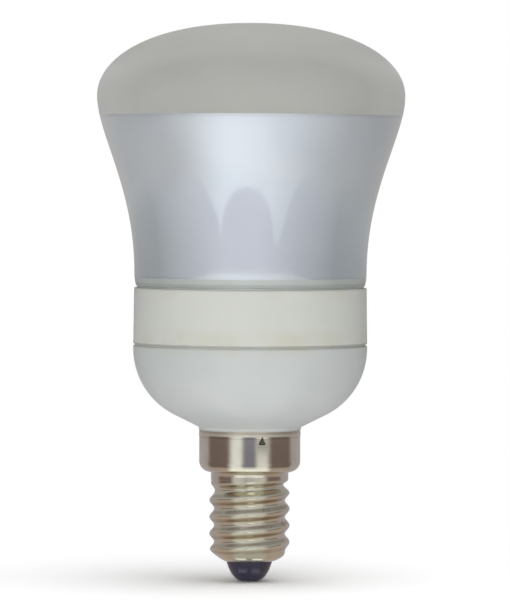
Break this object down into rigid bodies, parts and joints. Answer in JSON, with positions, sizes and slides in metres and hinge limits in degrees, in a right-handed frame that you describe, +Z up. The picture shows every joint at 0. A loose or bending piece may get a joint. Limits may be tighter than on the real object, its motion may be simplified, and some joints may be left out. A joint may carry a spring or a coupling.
{
  "type": "reflector bulb",
  "caption": "Compact reflector bulb: frosted dome, flared aluminised glass, white collar and bowl-shaped ballast housing, small screw cap.",
  "frame": {"origin": "tip of the centre contact, on the lamp's axis", "axes": "+Z up the lamp's axis from the cap to the dome; -Y is the side that the picture shows"},
  "size_m": [0.052, 0.052, 0.0944],
  "materials": {
    "aluminised_glass": "aluminised inside on the flared wall, frosted on the dome",
    "white_plastic": "satin, moulded",
    "nickel_plate": "bright nickel plate on drawn and rolled sheet",
    "black_glass": "pressed, glossy",
    "tinned_brass": "dull tinned"
  },
  "bodies": {
    "root": {"reflector_glass": "aluminised_glass", "collar_ring": "white_plastic", "ballast_housing": "white_plastic", "screw_shell": "nickel_plate", "cap_insulator": "black_glass", "centre_contact": "tinned_brass"}
  },
  "joints": []
}
